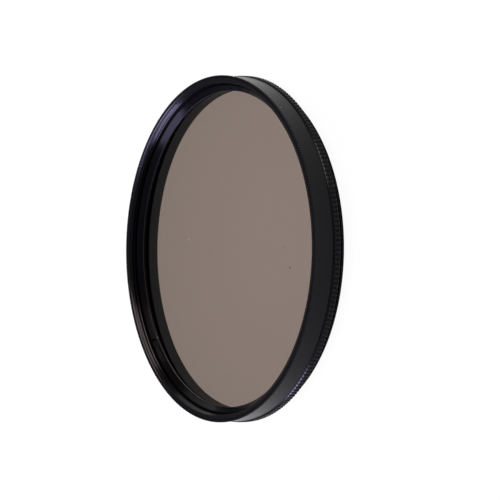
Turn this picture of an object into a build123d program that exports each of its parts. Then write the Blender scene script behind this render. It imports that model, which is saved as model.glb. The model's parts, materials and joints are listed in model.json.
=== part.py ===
"""Rotating screw-in lens filter: two knurled rings, a snap wire and a laminated polariser.

The optical axis is Z and the front of the filter faces up. The part stands on the end of its
male thread, with the origin at the centre of that end. All sizes are in millimetres.
"""
from build123d import *
from math import cos, pi, radians, sin
import os

# Threads
thread_diameter = 77.0        # outside of the male thread, the filter's nominal size
thread_depth = 0.406          # radial depth of the 0.75 mm pitch form, on both threads
thread_length = 2.4           # male thread, from its end up to the shoulder
thread_end_chamfer = 0.5
relief_width = 0.8            # run-out groove behind the front thread's last turn
relief_allowance = 0.05       # how much deeper than the thread the run-out groove is

# Rear ring
skirt_wall = 1.5              # from the outside of the male thread in to the rear bore
flare_height = 0.6            # conical mouth of the rear bore
flare_width = 0.75
floor_thickness = 0.4         # web between the thread skirt and the collar
collar_overhang = 1.62        # from the outside of the male thread out to the tooth crests
collar_height = 1.75
collar_bevel = 0.3            # on the front end of every tooth
coarse_pitch = 1.077          # along the crests
coarse_crest_width = 0.5
coarse_groove_depth = 0.25

# Front ring
band_overhang = 1.35          # from the outside of the male thread out to the plain grip band
fine_rise = 0.21              # tooth crests above the grip band
fine_height = 0.7             # toothed rim, measured from the front face
fine_pitch = 0.666
fine_root_rise = 0.01         # tooth roots above the grip band
lead_in_width = 1.2           # conical mouth of the front thread
lead_in_height = 0.4
front_thread_length = 1.0
ledge_width = 0.75            # shelf under the glass
ledge_thickness = 0.4
spigot_wall = 1.5             # tube round the glass that turns inside the collar

# Retaining ring
retainer_height = 1.2
retainer_setback = 0.35       # from the front thread's last turn back to the ring's front
retainer_entry = 0.144        # radial room to pass through the front thread
retainer_clearance = 0.03
retainer_land = 0.25          # flat front face
retainer_lip = 1.02           # reach inwards over the glass
retainer_edge = 0.15          # short straight edge that bears on the glass
slot_width = 0.5
slot_depth = 0.6
slot_bearing = 125.9          # degrees from +X round to the first spanner slot

# Polariser
cover_glass_thickness = 1.45
film_thickness = 0.1
pocket_step = 0.3             # from the retaining ring's seat in to the glass pocket
glass_clearance = 0.08

# Joint between the two rings
running_clearance = 0.05      # spigot in collar
end_float = 0.05              # spigot above the web
ring_gap = 0.1                # visible line between the rings
wire_size = 0.4               # square section
wire_clearance = 0.025
wire_opening = 14.0           # degrees left open in the split wire

# Radii, from the thread inwards and outwards
thread_radius = thread_diameter / 2
thread_minor = thread_radius - thread_depth
bore_radius = thread_radius - skirt_wall
retainer_seat = thread_minor - retainer_entry
pocket_radius = retainer_seat - pocket_step
glass_radius = pocket_radius - glass_clearance
ledge_radius = pocket_radius - ledge_width
retainer_bore = glass_radius - retainer_lip
spigot_radius = pocket_radius + spigot_wall
collar_bore = spigot_radius + running_clearance
collar_crest = thread_radius + collar_overhang
band_radius = thread_radius + band_overhang
fine_crest = band_radius + fine_rise
wire_path = (spigot_radius + collar_bore) / 2
groove_reach = wire_size / 2 + wire_clearance

# Heights, from the rear end upwards
web_top = thread_length + floor_thickness
spigot_end = web_top + end_float
ledge_top = spigot_end + ledge_thickness
rear_film_z = ledge_top + cover_glass_thickness
front_film_z = rear_film_z + film_thickness
front_glass_z = front_film_z + film_thickness
glass_top = front_glass_z + cover_glass_thickness
retainer_top = glass_top + retainer_height
thread_start = retainer_top + retainer_setback
relief_z = thread_start - relief_width
lead_in_z = thread_start + front_thread_length
front_z = lead_in_z + lead_in_height
collar_top = thread_length + collar_height
band_end = collar_top + ring_gap
fine_end = front_z - fine_height
wire_z = (web_top + collar_top) / 2


def turned(points):
    """Revolve a closed outline of (radius, height) points about the optical axis."""
    outline = make_face(Plane.XZ * Polyline(*points, close=True))
    return revolve(outline, Axis.Z)


def on_circle(radius, degrees):
    """Point on a circle round the axis."""
    return (radius * cos(radians(degrees)), radius * sin(radians(degrees)))


def tooth_outline(crest, root, pitch, crest_width=0):
    """Face bounded by straight V-grooved teeth, with a tooth on +X."""
    step = 360 / tooth_count(crest, pitch)
    half_crest = step * crest_width / pitch / 2
    corners = []
    for tooth in range(tooth_count(crest, pitch)):
        middle = tooth * step
        if half_crest > 0:
            corners.append(on_circle(crest, middle - half_crest))
        corners.append(on_circle(crest, middle + half_crest))
        corners.append(on_circle(root, middle + step / 2))
    return make_face(Polyline(*corners, close=True))


def tooth_count(crest, pitch):
    """Whole number of teeth nearest to the wanted pitch."""
    return round(2 * pi * crest / pitch)


def outside_of(toothed, radius, low, high):
    """The ring of waste that is cut away round a toothed solid."""
    blank = Pos(0, 0, low) * Cylinder(radius, high - low, align=(Align.CENTER, Align.CENTER, Align.MIN))
    return blank - toothed


def make_rear_ring():
    """Knurled collar on a male thread skirt, bored for the front ring's spigot and the wire."""
    blank_radius = collar_crest + coarse_groove_depth
    body = turned([
        (bore_radius, web_top),
        (bore_radius, flare_height),
        (bore_radius + flare_width, 0),
        (thread_radius - thread_end_chamfer, 0),
        (thread_radius, thread_end_chamfer),
        (thread_radius, thread_length),
        (blank_radius, thread_length),
        (blank_radius, collar_top),
        (collar_bore, collar_top),
        (collar_bore, wire_z + groove_reach),
        (wire_path + groove_reach, wire_z + groove_reach),
        (wire_path + groove_reach, wire_z - groove_reach),
        (collar_bore, wire_z - groove_reach),
        (collar_bore, web_top),
    ])
    root = collar_crest - coarse_groove_depth
    outline = tooth_outline(collar_crest, root, coarse_pitch, coarse_crest_width)
    teeth = extrude(Pos(0, 0, thread_length) * outline, amount=collar_height)
    facets = RegularPolygon(collar_crest - collar_bevel + collar_height,
                            tooth_count(collar_crest, coarse_pitch), major_radius=False)
    half_step = 180 / tooth_count(collar_crest, coarse_pitch)
    cone = extrude(Pos(0, 0, thread_length) * Rot(0, 0, half_step) * facets, amount=collar_height, taper=45)
    return body - outside_of(teeth & cone, 2 * blank_radius, thread_length, collar_top)


def make_front_ring():
    """Turning ring: toothed rim, grip band, front thread, glass pocket and grooved spigot."""
    relief_radius = thread_radius + relief_allowance
    blank_radius = fine_crest + fine_rise
    body = turned([
        (ledge_radius, ledge_top),
        (ledge_radius, spigot_end),
        (spigot_radius, spigot_end),
        (spigot_radius, wire_z - groove_reach),
        (wire_path - groove_reach, wire_z - groove_reach),
        (wire_path - groove_reach, wire_z + groove_reach),
        (spigot_radius, wire_z + groove_reach),
        (spigot_radius, band_end),
        (band_radius, band_end),
        (band_radius, fine_end),
        (blank_radius, fine_end),
        (blank_radius, front_z),
        (thread_minor + lead_in_width, front_z),
        (thread_minor, lead_in_z),
        (thread_minor, thread_start),
        (relief_radius, thread_start),
        (relief_radius, relief_z),
        (retainer_seat, relief_z),
        (retainer_seat, glass_top),
        (pocket_radius, glass_top),
        (pocket_radius, ledge_top),
    ])
    outline = tooth_outline(fine_crest, band_radius + fine_root_rise, fine_pitch)
    teeth = extrude(Pos(0, 0, fine_end) * outline, amount=fine_height)
    return body - outside_of(teeth, 2 * blank_radius, fine_end, front_z)


def make_retaining_ring():
    """Thin conical ring over the glass, with two spanner slots across its front."""
    outer = retainer_seat - retainer_clearance
    body = turned([
        (retainer_bore, glass_top),
        (outer, glass_top),
        (outer, retainer_top),
        (outer - retainer_land, retainer_top),
        (retainer_bore, glass_top + retainer_edge),
    ])
    across = 2 * (outer + retainer_height)
    slot = Box(across, slot_width, 2 * slot_depth)
    return body - Pos(0, 0, retainer_top) * Rot(0, 0, slot_bearing) * slot


def make_snap_wire():
    """Split ring of square spring wire, half in each ring's groove."""
    section = Plane.XZ * Pos(wire_path, wire_z) * Rectangle(wire_size, wire_size)
    return revolve(section, Axis.Z, revolution_arc=360 - wire_opening)


def make_disc(low, thickness):
    """One layer of the bonded polariser."""
    return extrude(Pos(0, 0, low) * Circle(glass_radius), amount=thickness)


pieces = {
    "rear_ring": make_rear_ring(),
    "snap_wire": make_snap_wire(),
    "front_ring": make_front_ring(),
    "retaining_ring": make_retaining_ring(),
    "front_glass": make_disc(front_glass_z, cover_glass_thickness),
    "polarising_film": make_disc(front_film_z, film_thickness),
    "quarter_wave_film": make_disc(rear_film_z, film_thickness),
    "rear_glass": make_disc(ledge_top, cover_glass_thickness),
}

os.makedirs("parts", exist_ok=True)
for name, piece in pieces.items():
    export_step(piece, f"parts/{name}.step")
    size = piece.bounding_box().size
    print(f"{name}: {size.X:.2f} x {size.Y:.2f} x {size.Z:.2f} mm, {piece.volume:.1f} mm3")
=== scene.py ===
# %% [markdown]
# # A rotating polarising filter for a camera lens
# Two knurled rings, a laminated polariser between glass, and a ring that holds it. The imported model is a
# fixed frame that already says where each piece is and which of them turn. This lesson makes the visible
# pieces again with the detail that the frame leaves out, the threads above all, and gives every surface its
# finish.

# %% Load the frame
import json

import bmesh
import bpy
import numpy as np
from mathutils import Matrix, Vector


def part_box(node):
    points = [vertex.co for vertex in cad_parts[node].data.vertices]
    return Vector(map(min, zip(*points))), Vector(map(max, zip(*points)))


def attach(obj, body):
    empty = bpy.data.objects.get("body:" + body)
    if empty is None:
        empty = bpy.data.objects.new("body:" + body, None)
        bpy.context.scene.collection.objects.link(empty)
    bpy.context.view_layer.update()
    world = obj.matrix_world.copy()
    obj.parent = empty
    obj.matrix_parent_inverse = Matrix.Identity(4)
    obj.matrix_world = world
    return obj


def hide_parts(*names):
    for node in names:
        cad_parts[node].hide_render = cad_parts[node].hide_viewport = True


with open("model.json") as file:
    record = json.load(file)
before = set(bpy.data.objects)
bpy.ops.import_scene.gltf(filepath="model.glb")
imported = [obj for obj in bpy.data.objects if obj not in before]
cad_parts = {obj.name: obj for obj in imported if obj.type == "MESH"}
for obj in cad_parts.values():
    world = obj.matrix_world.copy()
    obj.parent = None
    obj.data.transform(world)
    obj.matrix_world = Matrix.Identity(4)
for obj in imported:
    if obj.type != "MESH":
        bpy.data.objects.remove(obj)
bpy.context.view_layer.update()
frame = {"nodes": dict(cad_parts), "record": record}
print("nodes in the frame:", ", ".join(sorted(frame["nodes"])))

# %% [markdown]
# ## Sizes
# A turned part is drawn as radii and heights, so those are the only sizes here, in millimetres. Most can be
# read off the frame, which keeps the new pieces where the solids are. The rest are the small forms inside
# them.

# %% Read the main sizes
MM = 0.001


def reach(node):
    """Outer radius, lowest level and highest level of a node that is centred on the optical axis."""
    low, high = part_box(node)
    return tuple(round(value / MM, 4) for value in (max(high.x, high.y), low.z, high.z))


def mount_radius(name):
    """Radius that the record states for a round mount."""
    return next(m["dims"]["r_mm"] for m in frame["record"]["mounts"] if m["name"] == name)


rim_crest, spigot_end, front_face = reach("front_ring")
collar_crest, rear_end, collar_top = reach("rear_ring")
retainer_outer, glass_top, retainer_top = reach("retaining_ring")
glass_outer, ledge_top, _ = reach("rear_glass")
thread_major = mount_radius("lens_thread")
thread_minor = mount_radius("accessory_thread")
print(f"filter {2 * collar_crest:.2f} mm across and {front_face - rear_end:.2f} mm thick")

# %% [markdown]
# ## Rings of points
# Every piece of this filter goes round one axis, so each is built as a list of rings of points, from one
# ring to the next along its outline. A plain modifier that spins an outline would do for the smooth parts,
# but it could not change the number of points on the way. Here a ring may have twice the points of its
# neighbour, which lets a finely toothed rim sit on a body with fewer faces.

# %% Rings and the strips between them
TURN = 2 * np.pi
MERGE_DISTANCE = 2e-8


def ring(radius, height, angle):
    """Points at x = radius times cosine of angle, y = radius times sine of angle, z = height."""
    radius, height, angle = np.broadcast_arrays(radius, height, angle)
    return np.stack([radius * np.cos(angle), radius * np.sin(angle), height], axis=1)


def strip(first, first_count, second, second_count):
    """Faces between two rings: each takes one edge of the coarser ring and its share of the finer one."""
    faces = min(first_count, second_count)
    column = np.arange(faces)[:, None]
    first_step, second_step = first_count // faces, second_count // faces
    along = (column * first_step + np.arange(first_step + 1)) % first_count
    back = (column * second_step + np.arange(second_step, -1, -1)) % second_count
    return np.hstack([first + along, second + back]).tolist()


def stitch(name, rings, soft=None, sharp_angle=32):
    """Closed mesh through a list of rings, the last one joined to the first.

    Points that fall together are merged, which closes poles and slot ends. Edges turn sharp above an
    angle in degrees, except between points where soft(radius, height) is true.
    """
    counts = [len(points) for points in rings]
    starts = np.cumsum([0] + counts)
    order = np.arange(len(rings))
    pairs = zip(order, np.roll(order, -1))
    faces = [face for a, b in pairs for face in strip(starts[a], counts[a], starts[b], counts[b])]
    mesh = bpy.data.meshes.new(name)
    mesh.from_pydata(np.concatenate(rings) * MM, [], faces)
    shell = bmesh.new()
    shell.from_mesh(mesh)
    bmesh.ops.remove_doubles(shell, verts=shell.verts, dist=MERGE_DISTANCE)
    volume = shell.calc_volume(signed=True) / MM**3
    triangles = sum(len(face.verts) - 2 for face in shell.faces)
    shell.to_mesh(mesh)
    shell.free()
    mesh.shade_smooth()
    mesh.set_sharp_from_angle(angle=np.radians(sharp_angle))
    if soft:
        soften(mesh, soft)
    piece = bpy.data.objects.new(name, mesh)
    bpy.context.scene.collection.objects.link(piece)
    print(f"{name}: {triangles} triangles, {volume:.1f} cubic mm")
    return piece


def soften(mesh, soft):
    """Clear the sharp mark from edges whose two ends both lie where soft(radius, height) is true."""
    points = np.empty(len(mesh.vertices) * 3, np.float32)
    mesh.vertices.foreach_get("co", points)
    points = points.reshape(-1, 3) / MM
    inside = soft(np.hypot(points[:, 0], points[:, 1]), points[:, 2])
    ends = np.empty(len(mesh.edges) * 2, np.int32)
    mesh.edges.foreach_get("vertices", ends)
    marks = mesh.attributes["sharp_edge"].data
    sharp = np.empty(len(mesh.edges), bool)
    marks.foreach_get("value", sharp)
    marks.foreach_set("value", sharp & ~inside[ends.reshape(-1, 2)].all(axis=1))


# %% [markdown]
# ## Knurls
# Both rings are rolled with teeth for the fingers: fine sharp ones on the front rim, coarser flat-topped
# ones on the collar behind. A displacement texture would blur their edges, so each tooth has four points a
# level, at the two edges of its root and the two corners of its crest. A bevel takes the top off the teeth,
# and the corners then move apart along the flanks, which leaves the small bright triangles that show on the
# real part.

# %% One level of teeth
ROOT_SHARE = 0.05


def knurl(height, teeth, crest, root, crest_share, cut):
    """One level of teeth cut off at radius cut.

    Across one pitch the outline is root, flank, crest, flank. The flat on top grows in step with the depth
    of the cut, from crest_share of the pitch at the crest to all but ROOT_SHARE of it at the root.
    """
    depth = np.clip((crest - cut) / (crest - root), 0, 1)
    root_edge = 0.5 - ROOT_SHARE / 2
    corner = crest_share / 2 + (root_edge - crest_share / 2) * depth
    across = np.array([-root_edge, -corner, corner, root_edge])
    floor = min(root, cut)
    radius = np.tile([floor, cut, cut, floor], teeth)
    angle = (np.arange(teeth)[:, None] + across) * TURN / teeth
    return ring(radius, height, angle.ravel())


def plain_angles(teeth):
    """Angles for the rings without teeth, two a tooth, set so that their points face those of the teeth."""
    first = -0.4
    return (np.arange(2 * teeth) / 2 + first) * TURN / teeth


# %% [markdown]
# ## Screw threads
# The filter screws into the lens with a fine thread, and takes a cap or another filter with the same pitch
# in front. A thread is a height field over angle and height: at each angle the same saw outline, moved up
# by one pitch a turn. Real helical edges would follow the crests more exactly, but they would leave loose
# ends where the thread runs out, and rows this close together show no difference.

# %% The thread as a height field
THREAD_PITCH = 0.75
ROW_SPACING = 0.026


def thread_radius(height, angle, phase, outer, outer_flat, inner, inner_flat):
    """Radius of the thread: a saw between two radii, with a flat of the given half width at each.

    The place within a pitch is height over pitch, less the share of a turn, plus a phase. From the edge of
    the outer flat the radius falls evenly with the distance along the axis, to the edge of the inner one.
    """
    place = (height / THREAD_PITCH - angle / TURN + phase) % 1
    from_outer = np.abs(place - 0.5) * THREAD_PITCH
    return np.interp(from_outer, [outer_flat, THREAD_PITCH / 2 - inner_flat], [outer, inner])


def levels(low, high):
    """Evenly spaced heights from low to high, close enough together for a thread."""
    return np.linspace(low, high, int(np.ceil((high - low) / ROW_SPACING)) + 1)


print(f"thread {thread_major - thread_minor:.3f} mm deep, a row of points every {ROW_SPACING} mm")

# %% [markdown]
# ## Front ring
# The ring that the photographer turns: a finely toothed rim, a plain grip band, a conical mouth that leads
# into the front thread, a run-out groove, the seats of the retaining ring and the glass, and a spigot that
# runs in the collar. Its outline is followed once round, up the outside, across the front and down the
# inside. The streaks in the photograph show a front thread with flatter flanks than the usual form, about
# 0.2 mm further out.

# %% Sizes of the front ring
RIM_TEETH = 378
RIM_CREST_SHARE = 0.10
rim_depth, rim_rise, rim_height = 0.20, 0.21, 0.7
rim_root = rim_crest - rim_depth
rim_end = front_face - rim_height
band_radius = rim_crest - rim_rise
ring_gap, running_clearance = 0.1, 0.05
band_end = collar_top + ring_gap
mouth_width, mouth_height = 1.2, 0.4
mouth_radius = thread_minor + mouth_width
mouth_end = front_face - mouth_height
front_thread_length, relief_width, relief_depth = 1.0, 0.8, 0.25
front_thread_start = mouth_end - front_thread_length
relief_end = front_thread_start - relief_width
relief_radius = thread_major + relief_depth
front_phase, front_root, front_crest, front_flat = 0.76, thread_major + 0.22, thread_minor + 0.20, 0.015
front_thread = (front_phase, front_root, front_flat, front_crest, front_flat)
seat_clearance, glass_clearance, ledge_width, spigot_wall = 0.03, 0.08, 0.75, 1.5
seat_radius = retainer_outer + seat_clearance
pocket_radius = glass_outer + glass_clearance
ledge_radius = pocket_radius - ledge_width
spigot_radius = pocket_radius + spigot_wall
wire_half = 0.225
wire_level = (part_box("snap_wire")[0].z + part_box("snap_wire")[1].z) / 2 / MM
wire_path = spigot_radius + running_clearance / 2
edge = 0.06
tooth_backing = 0.2
print(f"front ring: {RIM_TEETH} teeth, thread from {front_thread_start:.2f} to {mouth_end:.2f} mm")


# %% Build the front ring
def front_thread_rings(angle):
    """Rows of the front thread, from the front down: the larger of the thread's radius and the mouth's."""
    slope = mouth_width / mouth_height
    cone_clear = mouth_end + (front_thread[1] - thread_minor) / slope
    rows = levels(front_thread_start, cone_clear)[::-1]
    cone = thread_minor + (rows - mouth_end) * slope
    return [ring(np.maximum(thread_radius(z, angle, *front_thread), least), z, angle)
            for z, least in zip(rows, cone)]


def front_ring_rings():
    """Outline of the front ring, as rings: base, wire groove, band, teeth, front face, thread, pocket."""
    angle = plain_angles(RIM_TEETH)
    rim = (RIM_TEETH, rim_crest, rim_root, RIM_CREST_SHARE)
    outside = [
        (ledge_radius + edge, spigot_end), (spigot_radius - edge, spigot_end),
        (spigot_radius, spigot_end + edge),
        (spigot_radius, wire_level - wire_half), (wire_path - wire_half, wire_level - wire_half),
        (wire_path - wire_half, wire_level + wire_half), (spigot_radius, wire_level + wire_half),
        (spigot_radius, band_end), (band_radius - edge, band_end), (band_radius, band_end + edge),
        (band_radius, rim_end - edge),
    ]
    teeth = [
        knurl(rim_end, *rim, rim_root),
        knurl(rim_end + rim_crest - rim_root, *rim, rim_crest), knurl(front_face, *rim, rim_crest),
    ]
    face = [
        (rim_root - tooth_backing, front_face), (mouth_radius + edge, front_face),
        (mouth_radius - edge, front_face - edge),
    ]
    inside = [
        (relief_radius, front_thread_start), (relief_radius, relief_end), (seat_radius + edge, relief_end),
        (seat_radius, relief_end - edge), (seat_radius, glass_top), (pocket_radius, glass_top),
        (pocket_radius, ledge_top), (ledge_radius + edge, ledge_top), (ledge_radius, ledge_top - edge),
        (ledge_radius, spigot_end + edge),
    ]
    turned = [[ring(r, z, angle) for r, z in part] for part in (outside, face, inside)]
    return turned[0] + teeth + turned[1] + front_thread_rings(angle) + turned[2]


def in_front_thread(radius, height):
    """True on the thread and on the cone that it runs out into."""
    on_thread = (radius > thread_minor - edge) & (radius < front_thread[1] + edge / 2)
    return on_thread & (height > front_thread_start + edge / 2) & (height < front_face - edge)


front_ring = stitch("front_ring_turned", front_ring_rings(), soft=in_front_thread)

# %% [markdown]
# ## Rear ring
# The ring that screws into the lens. Its collar carries the coarse knurl and is bored for the front ring's
# spigot; below it a short skirt carries the outside thread. The bore opens in a cone at the rear.

# %% Sizes of the rear ring
COLLAR_TEETH = 234
COLLAR_CREST_SHARE = 0.464
collar_depth, collar_bevel, collar_height = 0.25, 0.3, 1.75
collar_root = collar_crest - collar_depth
shoulder = collar_top - collar_height
skirt_wall, web_thickness = 1.5, 0.4
skirt_bore = thread_major - skirt_wall
flare_height, flare_width = 0.6, 0.75
thread_chamfer, neck_height = 0.5, 0.25
web_top = shoulder + web_thickness
collar_bore = spigot_radius + running_clearance
collar_land = 0.35
lens_phase, lens_crest_flat, lens_root_flat = 0.1, THREAD_PITCH / 16, THREAD_PITCH / 8
lens_thread = (lens_phase, thread_major, lens_crest_flat, thread_minor, lens_root_flat)
print(f"rear ring: {COLLAR_TEETH} teeth, thread from {rear_end:.2f} to {shoulder - neck_height:.2f} mm")


# %% Build the rear ring
def lens_thread_rings(angle):
    """Rows of the outside thread, from the rear up: the smaller of the thread's radius and the end's."""
    rows = levels(rear_end, shoulder - neck_height)
    cone = thread_major - thread_chamfer + rows - rear_end
    return [ring(np.minimum(thread_radius(z, angle, *lens_thread), most), z, angle)
            for z, most in zip(rows, cone)]


def rear_ring_rings():
    """Outline of the rear ring, as rings: end, thread, shoulder, teeth, collar bore, web, skirt bore."""
    angle = plain_angles(COLLAR_TEETH)
    collar = (COLLAR_TEETH, collar_crest, collar_root, COLLAR_CREST_SHARE)
    end = [(skirt_bore + flare_width, rear_end), (thread_major - thread_chamfer - edge, rear_end)]
    neck = [
        (thread_minor, shoulder - neck_height), (thread_minor, shoulder),
        (collar_root - tooth_backing, shoulder),
    ]
    teeth = [
        knurl(shoulder, *collar, collar_crest - edge), knurl(shoulder + edge, *collar, collar_crest),
        knurl(collar_top - collar_bevel, *collar, collar_crest),
        knurl(collar_top - collar_bevel + collar_crest - collar_root, *collar, collar_root),
        knurl(collar_top, *collar, collar_crest - collar_bevel),
    ]
    inside = [
        (collar_bore + collar_land, collar_top), (collar_bore + edge, collar_top),
        (collar_bore, collar_top - edge),
        (collar_bore, wire_level + wire_half), (wire_path + wire_half, wire_level + wire_half),
        (wire_path + wire_half, wire_level - wire_half), (collar_bore, wire_level - wire_half),
        (collar_bore, web_top), (skirt_bore + edge, web_top), (skirt_bore, web_top - edge),
        (skirt_bore, rear_end + flare_height),
    ]
    turned = [[ring(r, z, angle) for r, z in part] for part in (end, neck, inside)]
    return turned[0] + lens_thread_rings(angle) + turned[1] + teeth + turned[2]


def in_lens_thread(radius, height):
    """True on the outside thread and its chamfered end."""
    on_thread = (radius > thread_minor - thread_chamfer) & (radius < thread_major + edge / 2)
    return on_thread & (height < shoulder - neck_height)


rear_ring = stitch("rear_ring_turned", rear_ring_rings(), soft=in_lens_thread)

# %% [markdown]
# ## Retaining ring
# A thin conical ring, screwed down on the glass with a tool that fits two slots in its front. The slots
# have parallel sides, so the angle of a slot's edge depends on the radius: its sine is half the slot's
# width over the radius. Each edge has two points, one on the ring and one on the slot's floor, and they
# merge below the floor.

# %% Build the retaining ring
retainer_land, retainer_reach, retainer_lip = 0.25, 1.02, 0.15
retainer_bore = glass_outer - retainer_reach
slot_half, slot_depth = 0.25, 0.6
slot_bearing = np.radians(125.9)
slot_floor = retainer_top - slot_depth
POINTS_BETWEEN_SLOTS = 180


def slotted_ring(radius, height):
    """One ring cut by two opposite slots: within a slot the height is never above the slot's floor."""
    side = np.arcsin(slot_half / radius)
    between = np.linspace(side, np.pi - side, POINTS_BETWEEN_SLOTS + 2)[1:-1]
    half = np.concatenate([[-side, -side, side, side], between])
    cut = np.concatenate([[False, True, True, False], np.zeros(len(between), bool)])
    heights = np.where(cut, min(height, slot_floor), height)
    angle = slot_bearing + np.concatenate([half, half + np.pi])
    return ring(radius, np.tile(heights, 2), angle)


def retaining_ring_rings():
    """Outline of the retaining ring: underside, outer wall, land, cone down to the lip, bore."""
    cone_run = retainer_outer - retainer_land - retainer_bore
    cone_rise = retainer_top - glass_top - retainer_lip
    cone_at_floor = retainer_bore + cone_run * (slot_floor - glass_top - retainer_lip) / cone_rise
    bevel = edge / 2
    outline = [
        (retainer_bore + bevel, glass_top), (retainer_outer - bevel, glass_top),
        (retainer_outer, glass_top + bevel), (retainer_outer, slot_floor),
        (retainer_outer, retainer_top - bevel), (retainer_outer - bevel, retainer_top),
        (retainer_outer - retainer_land, retainer_top), (cone_at_floor, slot_floor),
        (retainer_bore + edge, glass_top + retainer_lip + edge * cone_rise / cone_run),
        (retainer_bore, glass_top + retainer_lip - edge / 2), (retainer_bore, glass_top + bevel),
    ]
    return [slotted_ring(r, z) for r, z in outline]


retaining_ring = stitch("retaining_ring_turned", retaining_ring_rings())

# %% [markdown]
# ## Polariser
# On the real part a polarising film and a quarter-wave film are glued between two glass discs, with a glue
# that bends light as the glass does, so the four layers look like one disc. Four separate meshes with faces
# that touch would show false reflections inside. One closed disc with ground edges, a hair clear of the
# metal above and below it, is what the eye sees.

# %% Build the polariser
bedding = 0.01
ground_edge = 0.12
DISC_POINTS = 360


def polariser_rings():
    """Outline of the disc, from the pole below to the pole above, with a ground edge at both faces."""
    angle = np.arange(DISC_POINTS) * TURN / DISC_POINTS
    low, high = ledge_top + bedding, glass_top - bedding
    outline = [
        (0, low), (glass_outer / 2, low), (glass_outer - ground_edge, low),
        (glass_outer, low + ground_edge), (glass_outer, high - ground_edge),
        (glass_outer - ground_edge, high), (glass_outer / 2, high), (0, high),
    ]
    return [ring(r, z, angle) for r, z in outline]


polariser = stitch("polariser_disc", polariser_rings())

# %% [markdown]
# ## What moves with what
# The rear ring and the snap wire stay with the lens. Everything else turns in them. Each new piece is
# listed with the body it rides on, a finish of the record and the solids it stands for, which are hidden.

# %% Tie the pieces to the frame
LAYERS = ("front_glass", "polarising_film", "quarter_wave_film", "rear_glass")
for piece, body, finish, nodes in (
    (front_ring, "front", "black_anodised", ("front_ring",)),
    (retaining_ring, "front", "black_anodised", ("retaining_ring",)),
    (polariser, "front", "polariser_glass", LAYERS),
    (rear_ring, "rear", "black_anodised", ("rear_ring",)),
):
    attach(piece, body)
    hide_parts(*nodes)
    print(piece.name, "rides on", body)

# %% [markdown]
# ## Shared surface effects
# The rings were turned on a lathe and then blackened, so all of them carry fine tool lines and a slight
# grain. Both effects are node groups that put out plain values, so that each material can use them with its
# own numbers. The lines run round the axis: their place is the distance from the axis plus the height,
# which changes across a flat face and along a wall alike.

# %% Node group helpers
def new_group(name, inputs, outputs):
    """Empty shader node group with named sockets, given as name to socket type."""
    group = bpy.data.node_groups.new(name, "ShaderNodeTree")
    for side, sockets in (("INPUT", inputs), ("OUTPUT", outputs)):
        for socket, kind in sockets.items():
            group.interface.new_socket(socket, in_out=side, socket_type="NodeSocket" + kind)
    return group, group.nodes.new("NodeGroupInput").outputs, group.nodes.new("NodeGroupOutput").inputs


def wire(tree, source, target):
    """Feed a node's input from another node's output, or set it to a plain value."""
    if isinstance(source, bpy.types.NodeSocket):
        tree.links.new(source, target)
    else:
        target.default_value = source


def maths(tree, operation, *values):
    """Math node of the values given, each a socket or a number."""
    node = tree.nodes.new("ShaderNodeMath")
    node.operation = operation
    for value, socket in zip(values, node.inputs):
        wire(tree, value, socket)
    return node.outputs[0]


def remap(tree, value, low, high, to_low, to_high):
    """Map Range node, clamped, from low..high to to_low..to_high."""
    node = tree.nodes.new("ShaderNodeMapRange")
    for source, socket in zip((value, low, high, to_low, to_high), node.inputs):
        wire(tree, source, socket)
    return node.outputs[0]


# %% Tool lines and grain
GRAIN_SCALE = 6000.0
NOISE_LOW, NOISE_HIGH = 0.3, 0.7
SPECK_CORE, SPECK_FRINGE = 0.6, 1.3


def turned_surface():
    """Group: Lines is noise along (distance from the axis + height) / spacing; Grain is noise in space."""
    inputs = {"Position": "Vector", "Line Spacing": "Float"}
    group, given, out = new_group("turned surface", inputs, {"Lines": "Float", "Grain": "Float"})
    parts = group.nodes.new("ShaderNodeSeparateXYZ")
    wire(group, given["Position"], parts.inputs[0])
    x, y, z = parts.outputs
    squares = maths(group, "ADD", maths(group, "MULTIPLY", x, x), maths(group, "MULTIPLY", y, y))
    along = maths(group, "ADD", maths(group, "SQRT", squares), z)
    lines = group.nodes.new("ShaderNodeTexNoise")
    lines.noise_dimensions = "1D"
    lines.inputs["Scale"].default_value = 1.0
    lines.inputs["Detail"].default_value = 3.0
    wire(group, maths(group, "DIVIDE", along, given["Line Spacing"]), lines.inputs["W"])
    wire(group, lines.outputs["Fac"], out["Lines"])
    grain = group.nodes.new("ShaderNodeTexNoise")
    grain.inputs["Scale"].default_value = GRAIN_SCALE
    grain.inputs["Detail"].default_value = 2.0
    wire(group, given["Position"], grain.inputs["Vector"])
    wire(group, grain.outputs["Fac"], out["Grain"])
    return group


def single_speck():
    """Group: Mask is 1 near a centre and falls evenly to 0 just outside a radius."""
    inputs = {"Position": "Vector", "Centre": "Vector", "Radius": "Float"}
    group, given, out = new_group("single speck", inputs, {"Mask": "Float"})
    gap = group.nodes.new("ShaderNodeVectorMath")
    gap.operation = "DISTANCE"
    wire(group, given["Position"], gap.inputs[0])
    wire(group, given["Centre"], gap.inputs[1])
    share = maths(group, "DIVIDE", gap.outputs["Value"], given["Radius"])
    wire(group, remap(group, share, SPECK_CORE, SPECK_FRINGE, 1.0, 0.0), out["Mask"])
    return group


TURNED = turned_surface()
SPECK = single_speck()
print("node groups:", TURNED.name, "and", SPECK.name)


# %% Using a group in a material
def start_material(name):
    """New material with its node tree, its Principled shader and the Object coordinates."""
    material = bpy.data.materials.new(name)
    material.use_nodes = True
    tree = material.node_tree
    place = tree.nodes.new("ShaderNodeTexCoord").outputs["Object"]
    return material, tree, tree.nodes["Principled BSDF"].inputs, place


def use_group(tree, group, **values):
    """Group node with its inputs set; an underscore in a name stands for a space."""
    node = tree.nodes.new("ShaderNodeGroup")
    node.node_tree = group
    for name, value in values.items():
        wire(tree, value, node.inputs[name.replace("_", " ")])
    return node.outputs


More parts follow.
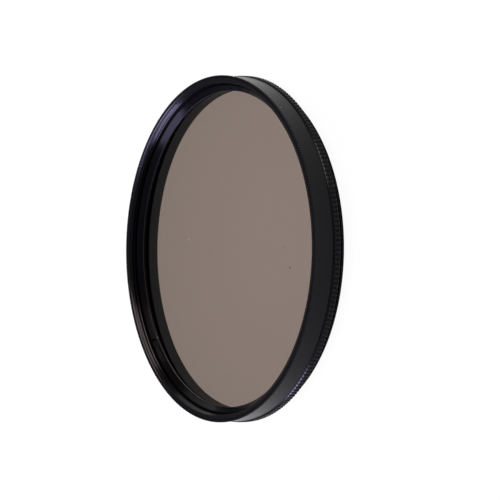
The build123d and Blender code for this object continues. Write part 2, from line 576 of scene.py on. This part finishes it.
def mix_colour(tree, share, first, second):
    """Mix node between two colours, each a socket or red, green, blue."""
    node = tree.nodes.new("ShaderNodeMix")
    node.data_type = "RGBA"
    for value, socket in zip((share, first, second), (node.inputs[0], node.inputs[6], node.inputs[7])):
        wire(tree, (*value, 1.0) if isinstance(value, tuple) else value, socket)
    return node.outputs[2]


def add_specks(tree, place, colour, specks):
    """Lay specks over a colour, each with a centre and a radius in millimetres and its own colour."""
    for centre, radius, speck_colour in specks:
        where = tuple(value * MM for value in centre)
        mask = use_group(tree, SPECK, Position=place, Centre=where, Radius=radius * MM)["Mask"]
        colour = mix_colour(tree, mask, colour, speck_colour)
    return colour


# %% [markdown]
# ## Black anodised aluminium
# Anodising leaves a thin, clear, rough oxide that is dyed black. It reflects less than paint does, so the
# specular level is low, and what shows are broad, soft streaks of the lamps. Tool lines go into the bump
# and a little into the roughness. One finish would be simpler, but a knurled edge, a turned cone and a
# bored hole differ in how much they shine, so each ring gets the finish of its main faces first and others
# where a tool left another surface. The flat front also gets a darker black, which is painted shade, and
# the lip of the retaining ring gets a paler one, which is a painted highlight.

# %% The anodised finish
LINE_DEPTH = 0.002 * MM
GRAIN_CONTRAST, GRAIN_IN_BUMP = 0.35, 0.3
ROUGHNESS_SPREAD = 0.04
OXIDE_TINT = (1.0, 0.93, 0.96, 1.0)


def grey(level):
    """Near-neutral dark colour with a slight violet cast, as black dye has."""
    return (level, 0.97 * level, 1.06 * level)


def anodised(name, shade, roughness, specular, line_spacing=0.08, specks=()):
    """Black anodised finish: colour about a shade by grain, roughness about a mean, tool-line bump."""
    material, tree, shader, place = start_material(name)
    surface = use_group(tree, TURNED, Position=place, Line_Spacing=line_spacing * MM)
    darker, paler = grey((1 - GRAIN_CONTRAST) * shade), grey((1 + GRAIN_CONTRAST) * shade)
    colour = mix_colour(tree, surface["Grain"], darker, paler)
    wire(tree, add_specks(tree, place, colour, specks), shader["Base Color"])
    smooth, rough = roughness - ROUGHNESS_SPREAD, roughness + ROUGHNESS_SPREAD
    wire(tree, remap(tree, surface["Lines"], NOISE_LOW, NOISE_HIGH, smooth, rough), shader["Roughness"])
    shader["Specular IOR Level"].default_value = specular
    shader["Specular Tint"].default_value = OXIDE_TINT
    bump = tree.nodes.new("ShaderNodeBump")
    bump.inputs["Strength"].default_value = 1.0
    bump.inputs["Distance"].default_value = LINE_DEPTH
    height = maths(tree, "ADD", surface["Lines"], maths(tree, "MULTIPLY", surface["Grain"], GRAIN_IN_BUMP))
    wire(tree, height, bump.inputs["Height"])
    wire(tree, bump.outputs["Normal"], shader["Normal"])
    return material


# %% Which faces get which finish
def faces_within(piece, inner, outer, low, high):
    """True for each face whose centre lies between two radii and two heights."""
    centres = np.empty(len(piece.data.polygons) * 3, np.float32)
    piece.data.polygons.foreach_get("center", centres)
    centres = centres.reshape(-1, 3) / MM
    radius = np.hypot(centres[:, 0], centres[:, 1])
    return (radius > inner) & (radius < outer) & (centres[:, 2] > low) & (centres[:, 2] < high)


def paint(piece, material, faces=None):
    """Add a material to a piece and give it to the faces marked true, or to all of them."""
    piece.data.materials.append(material)
    if faces is not None:
        index = np.empty(len(faces), np.int32)
        piece.data.polygons.foreach_get("material_index", index)
        index[faces] = len(piece.data.materials) - 1
        piece.data.polygons.foreach_set("material_index", index)
    count = len(piece.data.polygons) if faces is None else int(faces.sum())
    print(f"{material.name}: {count} faces of {piece.name}")


# %% [markdown]
# ## Finish of the rings
# The flat front gets a darker black, which is painted shade, and a duller finish. The front thread and the
# cone of the retaining ring were turned with a finer feed and mirror the lamps more sharply, and the
# bevelled front ends of the collar teeth shine most.
# The bore of the rear ring shows through the glass as a grey band, since it mirrors the pale ground. The
# lip of the retaining ring is painted paler as a highlight, on one side above all, and carries a pale nick.
# A grain of dust sits on the grip band.
# Each finish is a shade, a roughness and a specular level, and where it goes is told by radius and height.

# %% Dress the rings
PALE_DUST, DARK_DUST = (0.45, 0.42, 0.40), (0.004, 0.004, 0.004)
band_dust = ((32.03, -23.70, 7.67), 0.13, PALE_DUST)
lip_nick = ((-21.29, 29.77, 6.50), 0.16, (0.60, 0.58, 0.55))
# Painted highlight: a broad pale patch over one side of the retaining ring's lip.
lip_painted_highlight = ((-31.0, 19.4, 6.50), 13.0, (0.15, 0.145, 0.14))
everything = 1000.0
# The middles of the collar teeth's flanks lie inside this radius, those of their bevelled ends outside it.
flank_limit = collar_root + 0.1

paint(front_ring, anodised("black anodised front ring", 0.0045, 0.30, 0.13, specks=[band_dust]))
paint(front_ring, anodised("black front thread", 0.0045, 0.15, 0.22),
      faces_within(front_ring, seat_radius, mouth_radius, relief_end, front_face - edge / 4))
# Painted shade: the flat front faces, which look up to the lamps, get a darker black than the rest of the
# ring, with a duller finish.
painted_shade_face_finish = anodised("black front face painted shade", 0.0025, 0.40, 0.08)
paint(front_ring, painted_shade_face_finish,
      faces_within(front_ring, mouth_radius, everything, front_face - edge / 4, everything))
paint(retaining_ring, anodised("black anodised retaining ring", 0.0040, 0.16, 0.075, 0.10))
land_start = retainer_outer - retainer_land
# Painted shade: the flat land of the retaining ring takes the same darker black as the front face.
paint(retaining_ring, painted_shade_face_finish,
      faces_within(retaining_ring, land_start, everything, retainer_top - edge / 4, everything))
# Painted highlight: the lip is a paler black than the ring all round, and the pale patch lights one side
# further. The small pale nick is wear.
paint(retaining_ring, anodised("lip painted highlight and nick", 0.030, 0.35, 0.3, specks=[lip_painted_highlight, lip_nick]),
      faces_within(retaining_ring, 0, retainer_bore + edge, glass_top + edge, retainer_top))
paint(rear_ring, anodised("black anodised rear ring", 0.0120, 0.35, 0.09))
paint(rear_ring, anodised("burnished tooth ends", 0.0060, 0.22, 0.38),
      faces_within(rear_ring, flank_limit, everything, collar_top - collar_bevel, collar_top))
paint(rear_ring, anodised("black anodised bore", 0.0100, 0.50, 0.16, 0.12),
      faces_within(rear_ring, 0, skirt_bore + flare_width, rear_end + edge / 2, web_top - edge / 2))

# %% [markdown]
# ## Grey polariser glass
# The film takes away more than two thirds of the light, a little less of the red than of the blue, so a
# white ground looks warm grey through it. The tint is the Principled shader's base colour with full
# transmission. The ground rim of the disc is blackened, as a bare rim would light up all round from inside.
# Dust lies on the front.

# %% Finish of the polariser
TINT = (0.290, 0.230, 0.198)
CLEAREST = (3, -18, glass_top)
EVEN_RADIUS, DARK_RADIUS, DARKENED = 10, 46, 0.91
GLASS_DUST = [
    ((-4.07, -25.93, glass_top), 0.27, DARK_DUST), ((-0.89, 7.74, glass_top), 0.20, DARK_DUST),
    ((0.42, -23.65, glass_top), 0.17, DARK_DUST), ((8.26, 23.41, glass_top), 0.19, DARK_DUST),
    ((2.12, 16.47, glass_top), 0.19, (0.75, 0.70, 0.66)),
]


def polariser_glass():
    """Tinted clear glass that darkens with the distance from one point, with dust on its front face."""
    material, tree, shader, place = start_material("grey polariser glass")
    far = tree.nodes.new("ShaderNodeVectorMath")
    far.operation = "DISTANCE"
    wire(tree, place, far.inputs[0])
    far.inputs[1].default_value = tuple(value * MM for value in CLEAREST)
    darker = tuple(DARKENED * channel for channel in TINT)
    share = remap(tree, far.outputs["Value"], EVEN_RADIUS * MM, DARK_RADIUS * MM, 0.0, 1.0)
    colour = mix_colour(tree, share, TINT, darker)
    wire(tree, add_specks(tree, place, colour, GLASS_DUST), shader["Base Color"])
    shader["Roughness"].default_value = 0.0
    shader["IOR"].default_value = 1.5
    shader["Transmission Weight"].default_value = 1.0
    return material


paint(polariser, polariser_glass())
paint(polariser, anodised("blackened glass rim", 0.003, 0.6, 0.1),
      faces_within(polariser, glass_outer - ground_edge, everything, 0, everything))

# %% [markdown]
# ## Snap wire
# A split ring of spring wire sits half in each ring's groove and holds them together. It stays as the solid
# in the frame, and only gets the look of bright drawn steel.

# %% Finish of the snap wire
DARK_STEEL, PALE_STEEL = (0.42, 0.42, 0.43), (0.58, 0.57, 0.56)


def drawn_steel():
    """Bare spring steel: lines along the wire vary the colour and the roughness."""
    material, tree, shader, place = start_material("drawn spring steel")
    surface = use_group(tree, TURNED, Position=place, Line_Spacing=0.05 * MM)
    wire(tree, mix_colour(tree, surface["Lines"], DARK_STEEL, PALE_STEEL), shader["Base Color"])
    wire(tree, remap(tree, surface["Grain"], NOISE_LOW, NOISE_HIGH, 0.25, 0.4), shader["Roughness"])
    shader["Metallic"].default_value = 1.0
    return material


snap_wire = frame["nodes"]["snap_wire"]
snap_wire.data.materials.clear()
snap_wire.data.materials.append(drawn_steel())
print("steel on", snap_wire.name)

# %% [markdown]
# ## Floor
# The filter lies on a plain white ground. To the camera, and in reflections and through the glass, the
# ground glows near white and also takes the shadow; to every other ray it is ordinary pale paper, so it
# throws no more light on the filter than paper would.

# %% Build the floor
FLOOR_HALF = 6.0
FLOOR_GLOW = 0.95
FLOOR_SHADED = 0.10
PAPER = 0.8


def pale_ground():
    """Pale diffuse paper, with a glow that only camera, glossy and transmission rays see."""
    material = bpy.data.materials.new("white ground")
    material.use_nodes = True
    tree = material.node_tree
    tree.nodes.remove(tree.nodes["Principled BSDF"])
    paths = tree.nodes.new("ShaderNodeLightPath").outputs
    seen = maths(tree, "MAXIMUM", paths["Is Camera Ray"], paths["Is Glossy Ray"])
    seen = maths(tree, "MAXIMUM", seen, paths["Is Transmission Ray"])
    paper, shaded = tree.nodes.new("ShaderNodeBsdfDiffuse"), tree.nodes.new("ShaderNodeBsdfDiffuse")
    paper.inputs["Color"].default_value = (PAPER, PAPER, PAPER, 1.0)
    shaded.inputs["Color"].default_value = (FLOOR_SHADED, FLOOR_SHADED, FLOOR_SHADED, 1.0)
    glow = tree.nodes.new("ShaderNodeEmission")
    glow.inputs["Strength"].default_value = FLOOR_GLOW
    both, choice = tree.nodes.new("ShaderNodeAddShader"), tree.nodes.new("ShaderNodeMixShader")
    wire(tree, shaded.outputs[0], both.inputs[0])
    wire(tree, glow.outputs[0], both.inputs[1])
    wire(tree, seen, choice.inputs[0])
    wire(tree, paper.outputs[0], choice.inputs[1])
    wire(tree, both.outputs[0], choice.inputs[2])
    wire(tree, choice.outputs[0], tree.nodes["Material Output"].inputs["Surface"])
    return material


floor_mesh = bpy.data.meshes.new("floor")
corners = np.array([[-1, -1, 0], [1, -1, 0], [1, 1, 0], [-1, 1, 0]]) * FLOOR_HALF
floor_mesh.from_pydata(corners, [], [(0, 1, 2, 3)])
floor_mesh.materials.append(pale_ground())
floor = bpy.data.objects.new("floor", floor_mesh)
bpy.context.scene.collection.objects.link(floor)
print(f"floor {2 * FLOOR_HALF:.0f} m wide")

# %% [markdown]
# ## Lamps and surroundings
# Four oblong soft boxes hang over the filter: a strong cool one, which draws the violet streaks on the
# front thread, a weaker warm one beside it, and two faint white ones lower down. A streak on a turned part
# ends where the mirrored lamp ends, so each lamp is given by the two directions of its ends. The room is a
# plain grey.

# %% Place the lamps
def pose_of(across, above, away, place):
    """Placing matrix with the three given axes and the given origin."""
    matrix = np.eye(4)
    matrix[:3, 0], matrix[:3, 1], matrix[:3, 2], matrix[:3, 3] = across, above, away, place
    return matrix.T


def unit(vector):
    """The vector at length one."""
    return np.array(vector) / np.linalg.norm(vector)


def soft_box(name, first, last, width, watts, colour):
    """Oblong area lamp one metre off, facing the filter, as long as the chord between two directions."""
    first, last = unit(first), unit(last)
    away = unit(first + last)
    along = last - first
    lamp = bpy.data.lights.new(name, "AREA")
    lamp.shape = "RECTANGLE"
    lamp.size, lamp.size_y = np.linalg.norm(along), width
    lamp.energy = watts
    lamp.color = colour
    holder = bpy.data.objects.new(name, lamp)
    holder.matrix_world = pose_of(unit(along), np.cross(away, unit(along)), away, away)
    bpy.context.scene.collection.objects.link(holder)
    print(f"{name}: {watts} W, {lamp.size:.2f} m by {width} m")


soft_box("cool soft box", (-0.19, 0.51, 0.80), (-0.925, 0.056, 0.46), 0.42, 12.8, (0.63, 0.61, 1.0))
soft_box("warm soft box", (0.20, 0.43, 0.88), (0.61, -0.09, 0.79), 0.50, 4.3, (1.0, 0.82, 0.82))
soft_box("fill soft box", (0.50, 0.71, 0.50), (0.74, 0.62, 0.24), 0.50, 0.5, (1.0, 1.0, 1.0))
soft_box("small soft box", (0.76, -0.17, 0.63), (0.53, -0.43, 0.73), 0.30, 0.7, (1.0, 1.0, 1.0))

ROOM = (0.14, 0.14, 0.14, 1.0)
world = bpy.data.worlds.new("grey room")
world.use_nodes = True
world.node_tree.nodes["Background"].inputs["Color"].default_value = ROOM
bpy.context.scene.world = world

# %% [markdown]
# ## Camera
# The photograph looks at the front from well to one side, through a long lens, with the filter's axis
# level. The filter lies flat here, so the camera looks down on it from the same side and is turned until
# the axis is level in the picture.

# %% Place the camera
IMAGE = 500
VIEW_ANGLE = np.radians(57.04)
ROLL = np.radians(0.53)
DISTANCE = 0.802
FOCAL_PIXELS = 3474.4
CENTRE_COLUMN, CENTRE_ROW = 216.48, 248.75

back = np.array([0, -np.sin(VIEW_ANGLE), np.cos(VIEW_ANGLE)])
level_right, level_up = np.array([0, -np.cos(VIEW_ANGLE), -np.sin(VIEW_ANGLE)]), np.array([1, 0, 0])
right = level_right * np.cos(ROLL) + level_up * np.sin(ROLL)
up = level_up * np.cos(ROLL) - level_right * np.sin(ROLL)
lens = bpy.data.cameras.new("long lens")
lens.sensor_width = 36.0
lens.lens = lens.sensor_width * FOCAL_PIXELS / IMAGE
lens.shift_x = (IMAGE / 2 - CENTRE_COLUMN) / IMAGE
lens.shift_y = (CENTRE_ROW - IMAGE / 2) / IMAGE
camera = bpy.data.objects.new("camera", lens)
camera.matrix_world = pose_of(right, up, back, np.array([0, 0, front_face * MM]) + back * DISTANCE)
bpy.context.scene.collection.objects.link(camera)
bpy.context.scene.camera = camera
bpy.context.scene.view_settings.view_transform = "Standard"
print(f"camera {DISTANCE} m away, lens {lens.lens:.1f} mm")

# %% [markdown]
# ## End

# %% Finish
print("done")
